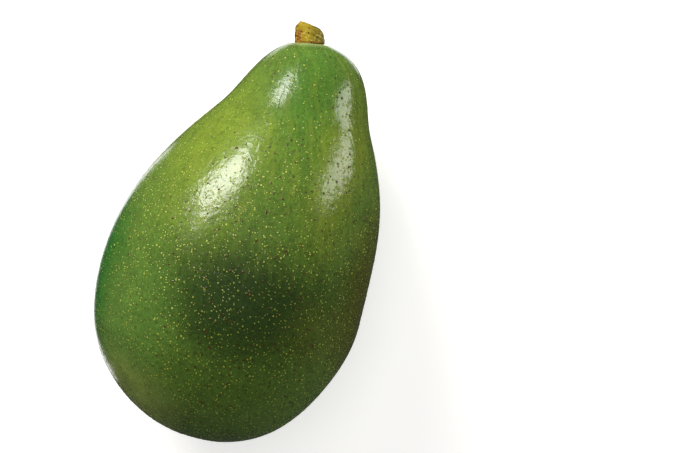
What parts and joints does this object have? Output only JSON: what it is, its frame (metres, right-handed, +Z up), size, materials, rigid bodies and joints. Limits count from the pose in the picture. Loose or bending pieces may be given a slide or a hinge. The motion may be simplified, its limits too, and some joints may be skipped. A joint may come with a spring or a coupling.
{
  "type": "avocado",
  "caption": "Whole green avocado with a glossy speckled skin and a short stub of broken stem, lying on its side on a small flat spot.",
  "frame": {"origin": "centre of the flat spot that the fruit rests on, straight below its centre of mass", "axes": "+Z up, +Y along the fruit from the blossom end towards the stem, +X towards the side that the neck bends to"},
  "size_m": [0.078, 0.1244, 0.0742],
  "materials": {
    "fruit": "waxy green skin with yellow-green and red-brown specks",
    "stem": "dull ochre bark, broken end"
  },
  "bodies": {
    "root": {"fruit": "fruit", "stem": "stem"}
  },
  "joints": []
}
